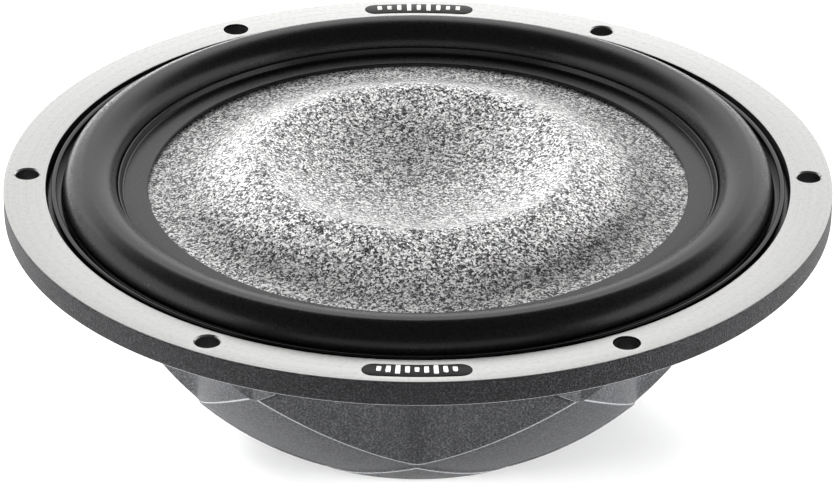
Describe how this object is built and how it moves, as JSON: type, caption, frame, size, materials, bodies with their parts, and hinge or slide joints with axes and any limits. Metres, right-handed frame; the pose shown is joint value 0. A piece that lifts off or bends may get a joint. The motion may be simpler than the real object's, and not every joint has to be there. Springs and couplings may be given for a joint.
{
  "type": "car subwoofer speaker",
  "caption": "Shallow round car subwoofer driver with a machined mounting flange, rubber surround, dished speckled cone and a facetted bowl-shaped cast basket.",
  "frame": {"origin": "centre of the flat bottom of the basket, on the driver's axis", "axes": "+Z along the driver's axis towards the listener, -Y towards the front badge, +Y towards the terminals"},
  "size_m": [0.218, 0.218, 0.0717],
  "materials": {
    "cast_basket": "die-cast, powder-coated dark grey, with a machined satin face",
    "gasket_foam": "closed-cell foam",
    "gloss_black": "gloss",
    "badge_plate": "dark satin",
    "badge_marks": "satin",
    "surround_rubber": "satin moulded",
    "cone_sandwich": "speckled fibre skin under a clear coat",
    "collar_plastic": "matte",
    "former_film": "amber film",
    "copper_wire": "enamelled copper",
    "spider_cloth": "resin-dipped woven cotton",
    "blackened_steel": "black phosphate",
    "ferrite": "ground",
    "copper_ring": "turned copper",
    "screen_steel": "black",
    "screw_steel": "zinc plated",
    "terminal_plastic": "matte",
    "gold_contact": "gold plated",
    "tin_contact": "tin plated",
    "insulator_plastic": "matte",
    "copper_braid": "woven tinsel wire",
    "tinned_braid": "woven tinsel wire"
  },
  "bodies": {
    "frame": {"basket": "cast_basket", "mounting_gasket": "gasket_foam", "clamp_ring": "gloss_black", "front_badge": "badge_plate", "front_badge_marks": "badge_marks", "rear_badge": "badge_plate", "rear_badge_marks": "badge_marks", "surround": "surround_rubber", "spider": "spider_cloth", "top_plate": "blackened_steel", "magnet": "ferrite", "back_plate": "blackened_steel", "pole_piece": "blackened_steel", "shorting_ring": "copper_ring", "vent_screen": "screen_steel", "motor_screws": "screw_steel", "terminal_block": "terminal_plastic", "terminal_positive": "gold_contact", "terminal_negative": "tin_contact", "terminal_screws": "screw_steel", "pin_insulators": "insulator_plastic", "lead_positive": "copper_braid", "lead_negative": "tinned_braid"},
    "cone_assembly": {"cone": "cone_sandwich", "coil_collar": "collar_plastic", "coil_former": "former_film", "coil_winding": "copper_wire", "lead_foils": "copper_wire"}
  },
  "joints": [
    {"name": "cone_travel", "type": "slide", "parent": "frame", "child": "cone_assembly", "axis": [0, 0, 1], "range_m": [-0.006, 0.006], "stiffness_N_per_m": 4000, "deforming": ["surround", "spider", "lead_positive", "lead_negative"]}
  ]
}
